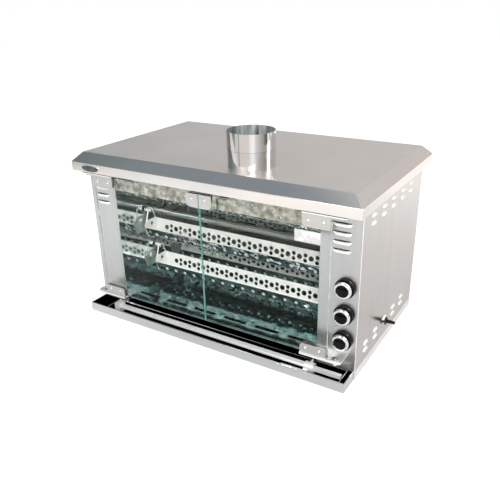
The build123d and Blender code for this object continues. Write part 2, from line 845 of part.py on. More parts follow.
def wire(p0, p1, r):
    """Round wire between two points."""
    line = Line(p0, p1)
    return sweep(Plane(origin=p0, z_dir=line % 0) * Circle(r), path=line)


def cradle_end():
    """Left end plate with its rosette of holes, wire hanger and pivot sleeve."""
    x0 = cradle_l
    x1 = cradle_l + cradle_t
    points = [
        (-trough_front - 2 * end_edge, end_edge - trough_front_drop - cradle_drop),
        (end_edge - trough_front, end_shoulder - cradle_drop),
        (-end_flat, end_top - cradle_drop),
        (end_flat, end_top - cradle_drop),
        (trough_back + 1.5 * end_edge, trough_back_rise + end_edge - cradle_drop),
    ]
    points += [(y + math.copysign(cradle_t, y), z - cradle_t) for y, z in cradle_profile[2:0:-1]]
    plate = profile_x(points, x0, x1)
    plate -= rod("x", x0 - 1, x1 + 1, 0, -cradle_drop, rosette_hole_r)
    for i in range(rosette_count):
        a = 2 * math.pi * (i + 0.5) / rosette_count
        y = rosette_ring_r * math.cos(a)
        z = rosette_ring_r * math.sin(a)
        plate -= rod("x", x0 - 1, x1 + 1, y, z - cradle_drop, rosette_small_r)
    xw = cradle_l - wire_r + weld
    foot_z = hanger_foot_z - cradle_drop
    frame = plate + wire((xw, -hanger_foot, foot_z), (xw, -hanger_top, 0), wire_r)
    frame += wire((xw, hanger_foot, foot_z), (xw, hanger_top, 0), wire_r)
    frame += rod("y", -hanger_top - wire_r, hanger_top + wire_r, xw, 0, wire_r)
    sleeve_start = spider_l + spider_t + sleeve_clear
    frame += rod("x", sleeve_start, xw + wire_r, 0, 0, sleeve_r)
    return frame - rod("x", sleeve_start - 1, xw + wire_r + 1, 0, 0, pin_r + pin_clear)


def cradle():
    """One cradle about its pivot: perforated trough, end plates and wire hangers."""
    line = FilletPolyline(*cradle_profile, radius=cradle_corner)
    section = Plane.YZ.offset(cradle_l + cradle_t) * trace(line, line_width=cradle_t)
    trough = extrude(section, amount=cradle_r - cradle_l - 2 * cradle_t, dir=(1, 0, 0))
    front_low, floor_front, floor_back, back_high = cradle_profile
    trough -= wall_holes(front_low, floor_front, [(0.55, front_hole_r, 0)])
    trough -= wall_holes(floor_front, floor_back, [(0.34, floor_hole_r, 0.5), (0.62, floor_hole_r, 0)])
    back_rows = [(0.48, back_hole_r, 0), (0.61, back_upper_hole_r, 0.5), (0.31, back_lower_hole_r, 0.5)]
    trough -= wall_holes(floor_back, back_high, back_rows)
    end = cradle_end()
    return [trough, end, mirror(end, about=Plane.YZ.offset(mid_x))]


def build_cradles():
    """Cradles hung on the rotor's pivots."""
    pieces = cradle()
    for i, (y, z) in enumerate(pivot_places()):
        keep("cradle_%d" % (i + 1), [Pos(0, y, z) * piece for piece in pieces])


def build_burners():
    """Three tube burners with deflector channels and brackets on the back wall."""
    tubes = []
    channels = []
    brackets = []
    y = burner_at
    pitch = (chamber_w - 2 * port_margin) / port_count
    x0 = chamber_l + deflector_end
    x1 = chamber_r - deflector_end
    for z in burner_heights:
        tube = rod("x", x0, burner_end, y, z, burner_r)
        tube -= rod("x", x0 + burner_cap, burner_end - burner_cap, y, z, burner_r - burner_wall)
        ports = []
        for i in range(port_count):
            x = mid_x + (i - (port_count - 1) / 2) * pitch
            port = block(x - port_l / 2, x + port_l / 2, y - burner_r - 1, y, z - port_w / 2, z + port_w / 2)
            ports.append(port)
        tubes.append(tube - ports)
        top = z + deflector_h / 2
        low = z - deflector_h / 2
        channel = block(x0, x1, chamber_back - deflector_t, chamber_back, low, top)
        channel += block(x0, x1, chamber_back - deflector_top, chamber_back, top - deflector_t, top)
        channel += block(x0, x1, chamber_back - deflector_low, chamber_back, low, low + deflector_t)
        channels.append(channel)
        for sign in (-1, 1):
            a = mid_x + sign * (chamber_w / 2 - burner_bracket_inset)
            b = a + burner_bracket_t
            y1 = chamber_back - deflector_t
            plate = block(a, b, y1 - burner_bracket_d, y1, low + deflector_t, top - deflector_t)
            brackets.append(plate - rod("x", a - 1, b + 1, y, z, burner_r + burner_clear))
    keep("burner_tubes", tubes)
    keep("burner_deflectors", channels)
    keep("burner_brackets", brackets)


def bent_pipe(points, radius, bend):
    """Round pipe along straight runs joined by arcs."""
    path = FilletPolyline(*points, radius=bend)
    start = Plane(origin=path @ 0, z_dir=path % 0)
    return sweep(start * Circle(radius), path=path)


def build_gas():
    """Valves, manifold, burner pipes, inlet pipe and hose nozzle."""
    valve_back = front + manifold_y - manifold_w / 2
    y0 = front + valve_start
    valves = []
    pipes = []
    for z, burner_z in zip(knob_heights, burner_heights):
        half_w = valve_w / 2
        half_h = valve_h / 2
        body = block(knob_x - half_w, knob_x + half_w, y0, valve_back, z - half_h, z + half_h)
        body += rod("y", panel_y0, y0, knob_x, z, valve_bush_r)
        half_h = valve_port_h / 2
        port_end = valve_back - valve_port_gap
        body += block(outlet_x - half_h, knob_x, port_end - valve_port_l, port_end, z - half_h, z + half_h)
        body -= rod("y", panel_y0 - 1, y0 + stem_depth, knob_x, z, stem_r + stem_clear)
        body -= rod("y", y0 + stem_depth - 1, valve_back - valve_floor, knob_x, z, plunger_r + stem_clear)
        valves.append(body)
        points = [(outlet_x, port_end, z), (outlet_x, burner_at - pipe_slope, z)]
        points += [(outlet_x, burner_at, burner_z), (burner_end, burner_at, burner_z)]
        pipes.append(bent_pipe(points, pipe_r, pipe_bend))
    keep("gas_valves", valves)
    keep("burner_pipes", pipes)
    half = manifold_w / 2
    yc = front + manifold_y
    tube = block(knob_x - half, knob_x + half, yc - half, yc + half, manifold_low, manifold_high)
    inner = half - manifold_wall
    tube -= block(knob_x - inner, knob_x + inner, yc - inner, yc + inner,
                  manifold_low + manifold_wall, manifold_high - manifold_wall)
    keep("gas_manifold", tube)
    y_in = front + inlet_y
    x0 = right - 2 * sheet
    points = [(knob_x, yc, manifold_low), (knob_x, yc, inlet_z)]
    points += [(knob_x, y_in, inlet_z), (x0, y_in, inlet_z)]
    keep("inlet_pipe", bent_pipe(points, inlet_r, inlet_bend))
    at = Plane(origin=(right + neck_l, y_in, inlet_z), x_dir=(0, 1, 0), z_dir=(1, 0, 0))
    nozzle = rod("x", x0, right + neck_l, y_in, inlet_z, neck_r)
    nozzle += extrude(at * RegularPolygon(hex_af / 2, 6, major_radius=False), amount=hex_l)
    x1 = right + neck_l + hex_l
    nozzle += rod("x", x1, x1 + tail_l, y_in, inlet_z, tail_r)
    tip = at.offset(hex_l + tail_l)
    nozzle += loft([tip * Circle(tail_r), tip.offset(tail_tip_l) * Circle(tail_tip_r)])
    nozzle -= rod("x", x0 - 1, x1 + tail_l + tail_tip_l + 1, y_in, inlet_z, tail_bore_r)
    keep("gas_inlet_nozzle", nozzle)


def build_knobs():
    """Gas knobs on their stems, chrome rings and the valve plungers they press."""
    y_base = front - knob_gap
    y_skirt = y_base - knob_base_t
    y_ring = front - ring_front
    y_core = y_ring + core_recess
    y_seat = y_ring + ring_t + ring_gap
    y_grip = front - grip_out
    y_stem = front + valve_start + stem_depth - push - stem_end_gap
    for i, z in enumerate(knob_heights):
        tag = str(i + 1)
        base = rod("y", y_skirt, y_base, knob_x, z, knob_base_r)
        base = fillet(base.edges().group_by(Axis.Y)[0], knob_base_t / 3)
        barrel = rod("y", y_seat, y_skirt, knob_x, z, knob_body_r)
        core = rod("y", y_core, y_seat, knob_x, z, knob_core_r)
        x0 = knob_x - knob_core_r
        x1 = knob_x + knob_core_r
        grip = block(x0, x1, y_grip, y_core, z - grip_w / 2, z + grip_w / 2)
        grip = fillet(grip.edges().filter_by(Axis.Z).sort_by(Axis.Y)[:2], grip_w / 4)
        grip = grip & rod("y", y_grip, y_core, knob_x, z, knob_core_r)
        stem = rod("y", y_base, y_stem, knob_x, z, stem_r)
        keep("knob_" + tag, base + barrel + core + grip + stem)
        ring = rod("y", y_ring, y_ring + ring_t, knob_x, z, ring_r)
        ring = fillet(ring.edges().group_by(Axis.Y)[0], ring_t / 4)
        ring -= rod("y", y_ring - 1, y_ring + ring_t + 1, knob_x, z, knob_core_r + ring_gap)
        keep("knob_ring_" + tag, ring)
        y_plunge = y_stem + ring_gap
        keep("plunger_" + tag, rod("y", y_plunge, y_plunge + plunger_l, knob_x, z, plunger_r))


def write_parts():
    """One STEP file per node."""
    os.makedirs("parts", exist_ok=True)
    for name, shape in made.items():
        export_step(shape, "parts/%s.step" % name)


build_base()
build_panels()
build_chamber()
build_hood()
build_flue()
build_doors()
build_brackets()
build_drawer()
build_spit()
build_rotor()
build_cradles()
build_burners()
build_gas()
build_knobs()
write_parts()
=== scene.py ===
from collections import namedtuple
import math

import bmesh
import bpy
from mathutils import Matrix, Vector


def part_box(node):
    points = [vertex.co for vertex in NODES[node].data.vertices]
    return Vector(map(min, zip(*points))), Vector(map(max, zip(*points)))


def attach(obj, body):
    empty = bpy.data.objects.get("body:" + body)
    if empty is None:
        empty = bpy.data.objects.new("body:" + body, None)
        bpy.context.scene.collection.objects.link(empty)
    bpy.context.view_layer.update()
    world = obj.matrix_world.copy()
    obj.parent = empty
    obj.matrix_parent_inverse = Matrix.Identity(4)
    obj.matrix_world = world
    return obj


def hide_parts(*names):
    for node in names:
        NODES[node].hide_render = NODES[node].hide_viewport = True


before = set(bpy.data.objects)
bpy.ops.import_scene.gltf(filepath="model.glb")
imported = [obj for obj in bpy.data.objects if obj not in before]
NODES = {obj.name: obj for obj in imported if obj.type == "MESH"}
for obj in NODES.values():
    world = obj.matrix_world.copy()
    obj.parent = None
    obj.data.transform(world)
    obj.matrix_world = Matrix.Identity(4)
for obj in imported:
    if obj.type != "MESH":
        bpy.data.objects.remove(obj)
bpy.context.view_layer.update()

WHITE = (1.0, 1.0, 1.0)
UP = (0, 0, 1)
FRONT = (0, -1, 0)
LEFT = (-1, 0, 0)
RIGHT = (1, 0, 0)

# Another finish for the faces of a sheet whose normal has less than a limit as its cosine to a direction; its
# colour, where one is given, is painted light or shade
Turned = namedtuple("Turned", "direction limit rough metal colour", defaults=[None])

# Camera, fitted to the photograph: angles in degrees, place and clip start in metres, lens and sensor in
# millimetres
AZIMUTH = 31.78
ELEVATION = 23.54
ROLL = -1.19
CAMERA_PLACE = (1.0062, -1.6565, 1.0667)
LENS = 41.138
SENSOR = 36.0
CLIP_START = 0.05

# Lamps: name, place, aim and size in metres, power in watts
LAMPS = [
    ("key", (-0.6, -3.0, 3.3), (0, 0, 0.3), (1.6, 1.6), 40),
    ("front", (1.55, -2.55, 1.75), (0, 0, 0.35), (0.35, 0.35), 55),
    ("strip", (2.4, 1.0, 1.6), (0.4, 0, 0.35), (0.25, 1.2), 14),
]

# Floor: its size and depth below the grill in metres, and how pale it is
FLOOR_SIZE = 30.0
FLOOR_DROP = 0.0004
FLOOR_PALE = 0.8
FLOOR_GLOW = 0.68
FLOOR_SHADE = 0.6
MIRRORED_SHADE = 0.2

# What metal sees on the floor close by: painted shade near the grill that brightens further out, a painted
# pool of light to the left, and warm and cool patches
POOL_BASE = 0.42
POOL_RISE = 0.3
POOL_LEAN = 0.12
PATCH_SIZE = 1.7
PATCH_DETAIL = 3.0
PATCH_RANGE = (0.35, 0.65)
PATCH_WARM = (1.0, 0.955, 0.92)
PATCH_COOL = (0.97, 0.99, 1.0)

# Colours that the hood's lip sees on the floor, from left to right over a span of X, past a distance
CARD_SPAN = (-2.3, 0.0)
CARD_REACH = (1.86, 1.96)
CARDS = [
    (0.0, (0.74, 0.70, 0.67)), (0.19, (0.80, 0.75, 0.72)), (0.2, (1.0, 1.0, 1.0)), (0.235, (1.0, 1.0, 1.0)),
    (0.24, (0.66, 0.66, 0.665)), (0.34, (0.78, 0.79, 0.80)), (0.355, (0.98, 0.99, 1.0)),
    (0.37, (0.82, 0.84, 0.86)), (0.53, (0.86, 0.87, 0.89)), (0.55, (0.76, 0.76, 0.78)),
    (0.6, (0.88, 0.88, 0.89)), (0.68, (1.0, 0.965, 0.93)), (1.0, (1.0, 0.94, 0.89)),
]

# Ring of the floor round the flue that carries the studio's bands: distances in metres, angles in degrees.
# Left of its left angle it starts further out, by the lean in metres for a full turn.
RING_START = (2.15, 2.3)
RING_END = (4.2, 4.6)
RING_LEFT = -66
RING_RIGHT = (96, 100)
RING_LEAN = 12.0
RING_LEVEL = 0.92

# Studio round the grill: for metal and glass, bands between the horizon and the ceiling, and a skylight, with
# heights as the Z of a view's direction; for all else, one even light
HORIZON = (0.0, 0.1)
CEILING = (0.26, 0.30, 0.335)
CEILING_START = (0.56, 0.74)
SKYLIGHT = (0.95, 0.95, 0.95)
SKYLIGHT_START = (0.86, 0.94)
EVEN_LIGHT = 0.8

# Colours of the bands, by degrees from the side that the photograph shows, anticlockwise from above
BANDS = [
    (-180, (0.60, 0.58, 0.565)), (-172, (0.56, 0.55, 0.54)), (-163, (0.40, 0.42, 0.42)),
    (-150, (0.13, 0.18, 0.175)), (-112, (0.05, 0.08, 0.08)), (-102, (0.16, 0.22, 0.21)),
    (-84, (0.31, 0.38, 0.36)), (-78, (0.80, 0.80, 0.77)), (-65, (0.85, 0.85, 0.81)),
    (-61, (0.40, 0.41, 0.40)), (-56, (0.96, 0.89, 0.85)), (-12, (0.96, 0.92, 0.89)),
    (-3, (1.3, 1.3, 1.3)), (13, (1.3, 1.3, 1.3)), (20, (0.89, 0.89, 0.92)),
    (56, (0.50, 0.43, 0.38)), (66, (0.18, 0.20, 0.18)), (76, (0.15, 0.15, 0.15)),
    (81, (1.3, 1.3, 1.3)), (87, (1.3, 1.3, 1.3)), (93, (0.52, 0.49, 0.50)),
    (112, (0.60, 0.575, 0.57)), (124, (0.70, 0.67, 0.66)),
    (150, (0.64, 0.60, 0.58)), (166, (0.68, 0.65, 0.63)), (180, (0.60, 0.58, 0.565)),
]

# Sockets of a colour mix
MIX_FACTOR = 0
MIX_FIRST = 6
MIX_SECOND = 7
MIX_COLOUR = 2

# Noise in the materials: stretch along and across a grain, stretch by axis, and scales per metre
EVEN = (1, 1, 1)
NOISE_ROUGH = 0.55
GRAIN = (9, 1500)
STREAKS = (2, 60)
CLOUDS = (3, 3, 3)
RIPPLES = (2, 2, 2)
SKIN_SIZE = 1800
WEAR_SIZE = 45
WEAR_RANGE = (0.45, 0.75)
PIT_SIZE = 500
STAIN_SIZE = 14

# Roughness from smooth to worn places, as shares of a material's own roughness
GRAIN_WEAR = 0.12
STEEL_WEAR = (0.85, 1.2)
PLASTIC_WEAR = (0.8, 1.4)
CASTING_WEAR = (0.8, 1.25)

# Black and brown patches inside a box, dust and stains
BLACK_PATCH_SIZE = 90
BLACK_PATCH_RANGE = (0.4, 0.75)
DEEP_BLACK = (0.004, 0.004, 0.004)
BLACK_BROWN = (0.035, 0.028, 0.022)
DUST_GAIN = 1.6
DUST_LIFT = 0.006
STAIN_DARK = 0.6

# Glass and the smears on it
GLASS_IOR = 1.15
SMEARS = (1, 1, 3)
SMEAR_SIZE = 7
SMEAR_ROUGH = 0.03

# Flue: grain, ripples and drips, and the duller finish inside, which starts this far in from the collar's
# outer face, in metres, for the collar and for the spigot
FLUE_GRAIN = (300, 1500)
FLUE_GRAIN_DEPTH = 0.000008
FLUE_RIPPLES = (26, 26, 3)
FLUE_RIPPLE_DEPTH = 0.0004
DRIPS = (40, 40, 5)
DRIP_RANGE = (0.35, 0.65)
DRIP_DARK = (0.03, 0.055, 0.055)
INSIDE_GREY = (0.55, 0.58, 0.58)
INSIDE_ROUGH = 0.4
INSIDE_METAL = 0.3
COLLAR_INSIDE = 0.0005
SPIGOT_INSIDE = 0.0017

# Limits for turned faces: a sheet's louvres and bends but not its flat, slopes but not what lies level, and
# undersides; and the paler colour of the louvres and bends in the side panels, a painted highlight
FLAT_ON = 0.985
LEVEL = 0.99
UNDERSIDE = -0.1
LOUVRE_PAINTED_HIGHLIGHT = (0.86, 0.84, 0.82)

# Round pieces: steps round a ring, in a corner and in a bead, and the least angle in degrees that stays sharp
STEPS = 36
ARC_STEPS = 6
BEAD_STEPS = 3
SHARP = 32

# Screws: X and Z of each, radius and height in metres; outlines in shares of the radius and the height
HEADER_SCREWS = [(0.098, 0.508), (0.130, 0.508), (0.162, 0.508), (0.259, 0.484)]
HEADER_SCREW_R = 0.0032
HEADER_SCREW_H = 0.0016
SCREW_OUTLINE = [(1, 0), (1, 0.25), (0.93, 0.55), (0.76, 0.82), (0.56, 1)]
SOCKET_SHARE = 0.46
SOCKET_TAPER = 0.94
SOCKET_FLOOR = 0.35
SOCKET_TIP = 0.3

# Knob rings: width in metres; outlines as an inset in metres and a share of the depth
RING_WIDTH = 0.0088
RING_OUTER = [(0, 0), (0, 0.35), (0.0006, 0.66), (0.0022, 0.9), (0.0042, 1)]
RING_INNER = [(0.0012, 0.94), (0.0003, 0.78), (0, 0.6)]

# Badge: rim and height in metres; the rim's outline as an inset in metres and a share of the height, the
# field's as shares of its width and of the height
BADGE_RIM = 0.0032
BADGE_H = 0.003
BADGE_OUTLINE = [
    (BADGE_RIM, 0), (0, 0), (0, 0.5), (0.0006, 0.85), (BADGE_RIM / 2, 1), (BADGE_RIM - 0.0004, 0.85),
    (BADGE_RIM, 0.6),
]
FIELD_OUTLINE = [(1, 0), (1, 0.4), (0.8, 0.52), (0.4, 0.6)]
FIELD_TOP = 0.62

# Ground edges of the panes, and the blank label: its left, right, lower and upper side, in metres
EDGE_T = 0.0002
MEETING_REACH = 0.01
LABEL = (0.329, 0.410, 0.446, 0.482)
LABEL_CORNER = 0.002
LABEL_T = 0.0004
LABEL_EDGE = LABEL_T / 3
LABEL_GAP = 0.0001

# Painted shadow under the flue's collar, hems of the trough and the pan, and the black box inside the
# drawer's tray, in metres
SEAM_SHADOW_R = 0.0014
HEM_R = 0.0018
PAN_HEM_R = 0.0014
BLACK_INSET = 0.0007
BLACK_DROP = 0.0025

# Counts of what the frame repeats, and the distance in metres under which two mesh points are one
KNOB_COUNT = 3
CRADLE_COUNT = 5
WELD = 0.000001


def corners(box):
    """A box's lowest and highest corner as vectors."""
    return [Vector(corner) for corner in box]


def numbered(name, count):
    """A name with each number from 1."""
    return [name + str(i + 1) for i in range(count)]


def feed(tree, target, inputs):
    """Put values or links on a node's inputs."""
    for key, value in dict(inputs).items():
        if isinstance(value, bpy.types.NodeSocket):
            tree.links.new(value, target.inputs[key])
        else:
            target.inputs[key].default_value = value


def node(tree, kind, inputs=(), **settings):
    """A node with its settings, and values or links on its inputs."""
    made = tree.nodes.new(kind)
    for key, value in settings.items():
        setattr(made, key, value)
    feed(tree, made, inputs)
    return made


def shader_tree(name):
    """A new material with an empty tree and a Principled shader on its output."""
    material = bpy.data.materials.new(name)
    material.use_nodes = True
    tree = material.node_tree
    tree.nodes.clear()
    output = tree.nodes.new("ShaderNodeOutputMaterial")
    shader = tree.nodes.new("ShaderNodeBsdfPrincipled")
    tree.links.new(shader.outputs[0], output.inputs["Surface"])
    return material, tree, shader, output


def arithmetic(tree, operation, *values):
    """A math node on values or links."""
    return node(tree, "ShaderNodeMath", dict(enumerate(values)), operation=operation).outputs[0]


def vector_math(tree, operation, *values):
    """A vector math node on values or links."""
    return node(tree, "ShaderNodeVectorMath", dict(enumerate(values)), operation=operation)


def object_place(tree):
    """Object coordinates."""
    return node(tree, "ShaderNodeTexCoord").outputs["Object"]


def axes(tree, vector):
    """The X, Y and Z outputs of a vector."""
    return node(tree, "ShaderNodeSeparateXYZ", {0: vector}).outputs


def noise(tree, scale=EVEN, size=1.0, detail=3.0):
    """A noise value from object coordinates that are stretched by a scale along each axis."""
    place = node(tree, "ShaderNodeMapping", {"Vector": object_place(tree), "Scale": scale}).outputs[0]
    inputs = {"Vector": place, "Scale": size, "Detail": detail, "Roughness": NOISE_ROUGH}
    return node(tree, "ShaderNodeTexNoise", inputs).outputs["Fac"]


def spread(tree, value, low, high, start=0.3, end=0.7):
    """A value mapped from one range, a noise's usual one unless given, to another."""
    inputs = {"Value": value, "From Min": start, "From Max": end, "To Min": low, "To Max": high}
    return node(tree, "ShaderNodeMapRange", inputs).outputs[0]


def blend(tree, factor, first, second, mode="MIX"):
    """Two colours, values or links, mixed by a factor."""
    first, second = ((*value, 1) if isinstance(value, tuple) else value for value in (first, second))
    inputs = {MIX_FACTOR: factor, MIX_FIRST: first, MIX_SECOND: second}
    return node(tree, "ShaderNodeMix", inputs, data_type="RGBA", blend_type=mode).outputs[MIX_COLOUR]


def colour_ramp(tree, value, stops):
    """A colour from a value, with (position, colour) stops."""
    ramp = node(tree, "ShaderNodeValToRGB", {0: value})
    elements = ramp.color_ramp.elements
    for element, (position, colour) in zip(elements, (stops[0], stops[-1])):
        element.position = position
        element.color = (*colour, 1)
    for position, colour in stops[1:-1]:
        elements.new(position).color = (*colour, 1)
    return ramp.outputs[0]


def bump(tree, height, distance, **normal):
    """A bump from a height, on top of another normal where one is given."""
    return node(tree, "ShaderNodeBump", {"Height": height, "Distance": distance, **normal}).outputs[0]


def within(tree, low, high):
    """1 inside a box of object coordinates; None leaves a side open."""
    place = axes(tree, object_place(tree))
    found = None
    for operation, limits in (("GREATER_THAN", low), ("LESS_THAN", high)):
        for axis, limit in enumerate(limits):
            if limit is not None:
                test = arithmetic(tree, operation, place[axis], limit)
                found = test if found is None else arithmetic(tree, "MULTIPLY", found, test)
    return found


def turned_away(tree, direction, limit):
    """1 where the cosine between the surface's normal and a direction is under a limit."""
    normal = node(tree, "ShaderNodeTexCoord").outputs["Normal"]
    cosine = vector_math(tree, "DOT_PRODUCT", normal, direction).outputs["Value"]
    return arithmetic(tree, "LESS_THAN", cosine, limit)


def along_axis(axis, along, across):
    """Stretch of a brushed grain that runs along an axis."""
    return tuple(along if name == axis else across for name in "XYZ")


def steel(name, colour, rough, axis="X", grain=0.00002, wave=0.0006, smudge=0.06, streak=0.05, metal=1.0,
          ripple=1.5, tone=None, tone_size=2.2, black_box=None, turned=None):
    """Stainless sheet: grain, waviness, smudges, streaks, black patches in a box, another finish on turned
    faces, with a painted light or shade colour there where one is given.
    """
    material, tree, shader, _ = shader_tree(name)
    fine = noise(tree, along_axis(axis, *GRAIN), detail=4)
    broad = noise(tree, along_axis(axis, *STREAKS))
    cloud = noise(tree, CLOUDS, size=tone_size, detail=4)
    dark = tuple(c * (1 - streak) for c in colour)
    streaked = blend(tree, spread(tree, broad, 0, 1), dark, colour)
    shade = tone or (1 - smudge,) * 3
    clouded = blend(tree, spread(tree, cloud, 0, 1), shade, WHITE)
    surface = blend(tree, 1.0, streaked, clouded, "MULTIPLY")
    # Inside the box the colour turns to black and brown patches
    if black_box:
        black_patches = noise(tree, size=BLACK_PATCH_SIZE, detail=5)
        black_fill = blend(tree, spread(tree, black_patches, 0, 1, *BLACK_PATCH_RANGE), DEEP_BLACK, BLACK_BROWN)
        surface = blend(tree, within(tree, *black_box), surface, black_fill)
    brushed = spread(tree, fine, -GRAIN_WEAR * rough, GRAIN_WEAR * rough)
    smooth, rubbed = (part * rough for part in STEEL_WEAR)
    worn = arithmetic(tree, "ADD", brushed, spread(tree, cloud, smooth, rubbed))
    shader.inputs["Metallic"].default_value = metal
    if turned:
        mask = turned_away(tree, turned.direction, turned.limit)
        # Painted light or shade: the turned faces take their own colour
        if turned.colour:
            surface = blend(tree, mask, surface, turned.colour)
        worn = arithmetic(tree, "MULTIPLY", worn, spread(tree, mask, 1, turned.rough / rough, 0, 1))
        feed(tree, shader, {"Metallic": spread(tree, mask, metal, turned.metal, 0, 1)})
    sheet = bump(tree, noise(tree, RIPPLES, size=ripple, detail=1), wave)
    brushing = bump(tree, fine, grain, Normal=sheet)
    feed(tree, shader, {"Base Color": surface, "Roughness": worn, "Normal": brushing})
    return material


def plastic(name, colour, rough, texture=0.00003, gloss=0.5):
    """Moulded plastic with a fine skin, faint wear and dust."""
    material, tree, shader, _ = shader_tree(name)
    skin = noise(tree, size=SKIN_SIZE, detail=2)
    wear = noise(tree, size=WEAR_SIZE, detail=4)
    dusty = tuple(min(1, c * DUST_GAIN + DUST_LIFT) for c in colour)
    smooth, rubbed = (part * rough for part in PLASTIC_WEAR)
    feed(tree, shader, {
        "Base Color": blend(tree, spread(tree, wear, 0, 1, *WEAR_RANGE), colour, dusty),
        "Roughness": spread(tree, wear, smooth, rubbed),
        "Normal": bump(tree, skin, texture),
        "Specular IOR Level": gloss,
    })
    return material


def casting(name, colour, rough, texture=0.0002):
    """Cast or heat-stained metal with a grainy skin."""
    material, tree, shader, _ = shader_tree(name)
    pits = noise(tree, size=PIT_SIZE, detail=4)
    stain = noise(tree, size=STAIN_SIZE, detail=5)
    dark = tuple(c * STAIN_DARK for c in colour)
    smooth, rubbed = (part * rough for part in CASTING_WEAR)
    feed(tree, shader, {
        "Base Color": blend(tree, spread(tree, stain, 0, 1), dark, colour),
        "Roughness": spread(tree, stain, smooth, rubbed),
        "Normal": bump(tree, pits, texture),
        "Metallic": 1.0,
    })
    return material


def ray_kinds(tree, *kinds):
    """1 for rays of any of the kinds."""
    path = node(tree, "ShaderNodeLightPath")
    found = path.outputs[kinds[0]]
    for kind in kinds[1:]:
        found = arithmetic(tree, "MAXIMUM", found, path.outputs[kind])
    return found


def mix_shaders(tree, factor, first, second):
    """Two shaders mixed by a factor."""
    return node(tree, "ShaderNodeMixShader", {0: factor, 1: first, 2: second}).outputs[0]


def sum_shaders(tree, first, second):
    """Two shaders added."""
    return node(tree, "ShaderNodeAddShader", {0: first, 1: second}).outputs[0]


def glow(tree, colour, strength=1.0):
    """Light of a colour."""
    return node(tree, "ShaderNodeEmission", {"Color": colour, "Strength": strength}).outputs[0]


def matt(tree, level):
    """A matt grey of a level."""
    return node(tree, "ShaderNodeBsdfDiffuse", {"Color": (level, level, level, 1)}).outputs[0]


def clear_glass(name, colour):
    """Tempered door glass: it lets the light through, with faint smears on its faces."""
    material, tree, shader, output = shader_tree(name)
    smear = noise(tree, SMEARS, size=SMEAR_SIZE, detail=5)
    feed(tree, shader, {
        "Base Color": (*colour, 1),
        "Roughness": spread(tree, smear, 0.0, SMEAR_ROUGH),
        "Transmission Weight": 1,
        "IOR": GLASS_IOR,
    })
    through = node(tree, "ShaderNodeBsdfTransparent", {"Color": (*colour, 1)}).outputs[0]
    light = ray_kinds(tree, "Is Shadow Ray", "Is Diffuse Ray")
    feed(tree, output, {"Surface": mix_shaders(tree, light, shader.outputs[0], through)})
    return material


def flue_steel(name, colour, rough, centre, radius):
    """Bright duct sheet; inside a radius it is duller, with drips of soot."""
    material, tree, shader, _ = shader_tree(name)
    fine = noise(tree, along_axis("X", *FLUE_GRAIN))
    ripple = noise(tree, FLUE_RIPPLES, detail=2)
    flat = vector_math(tree, "MULTIPLY", object_place(tree), (1, 1, 0)).outputs[0]
    off = vector_math(tree, "DISTANCE", flat, (*centre, 0)).outputs["Value"]
    inside = arithmetic(tree, "LESS_THAN", off, radius)
    drips = noise(tree, DRIPS, detail=4)
    dull = blend(tree, spread(tree, drips, 0, 1, *DRIP_RANGE), DRIP_DARK, INSIDE_GREY)
    sheet = bump(tree, ripple, FLUE_RIPPLE_DEPTH)
    feed(tree, shader, {
        "Base Color": blend(tree, inside, colour, dull),
        "Roughness": spread(tree, inside, rough, INSIDE_ROUGH, 0, 1),
        "Metallic": spread(tree, inside, 1.0, INSIDE_METAL, 0, 1),
        "Normal": bump(tree, fine, FLUE_GRAIN_DEPTH, Normal=sheet),
    })
    return material


def share(angle):
    """An angle from the photograph's side as a share of the full turn, which starts behind."""
    return (angle + 180) / 360


def studio_turn(tree, x, y):
    """The direction of a point from the middle as a share of the full turn; 0.5 is the photograph's side."""
    turn = arithmetic(tree, "DIVIDE", arithmetic(tree, "ARCTAN2", y, x), 2 * math.pi)
    return arithmetic(tree, "FRACT", arithmetic(tree, "ADD", turn, share(90 - AZIMUTH)))


def bands(tree, turn):
    """The studio's bands along a turn."""
    return colour_ramp(tree, turn, [(share(angle), colour) for angle, colour in BANDS])


def painted_pool_colour(tree, place):
    """The floor close by, as metal sees it, with painted shade near the grill and a painted pool of light to
    the left, and the cards beyond.
    """
    reach = vector_math(tree, "LENGTH", place).outputs["Value"]
    across = axes(tree, place)["X"]
    # Painted light and shade: darker near the grill, brighter further out and to the left
    level = arithmetic(tree, "MULTIPLY_ADD", reach, POOL_RISE, POOL_BASE)
    level = arithmetic(tree, "MULTIPLY_ADD", across, -POOL_LEAN, level)
    level = arithmetic(tree, "MINIMUM", level, 1.0)
    grey = node(tree, "ShaderNodeCombineXYZ", {0: level, 1: level, 2: level}).outputs[0]
    patches = node(tree, "ShaderNodeTexNoise", {"Vector": place, "Scale": PATCH_SIZE, "Detail": PATCH_DETAIL})
    tint = blend(tree, spread(tree, patches.outputs["Fac"], 0, 1, *PATCH_RANGE), PATCH_WARM, PATCH_COOL)
    pool = blend(tree, 1.0, tint, grey, "MULTIPLY")
    cards = colour_ramp(tree, spread(tree, across, 0, 1, *CARD_SPAN), CARDS)
    return blend(tree, spread(tree, reach, 0, 1, *CARD_REACH), pool, cards)


def ring_bands(tree, place, middle):
    """1 on the ring round the flue, and the colour of the bands there."""
    offset = vector_math(tree, "SUBTRACT", place, (*middle, 0)).outputs[0]
    around = vector_math(tree, "LENGTH", offset).outputs["Value"]
    side = axes(tree, offset)
    turn = studio_turn(tree, side["X"], side["Y"])
    beyond = arithmetic(tree, "MAXIMUM", arithmetic(tree, "SUBTRACT", share(RING_LEFT), turn), 0)
    start = arithmetic(tree, "MULTIPLY_ADD", beyond, -RING_LEAN, around)
    ring = arithmetic(tree, "MULTIPLY", spread(tree, start, 0, 1, *RING_START),
                      spread(tree, around, 1, 0, *RING_END))
    ring = arithmetic(tree, "MULTIPLY", ring, spread(tree, turn, 1, 0, *map(share, RING_RIGHT)))
    return ring, blend(tree, 1.0, bands(tree, turn), (RING_LEVEL,) * 3, "MULTIPLY")


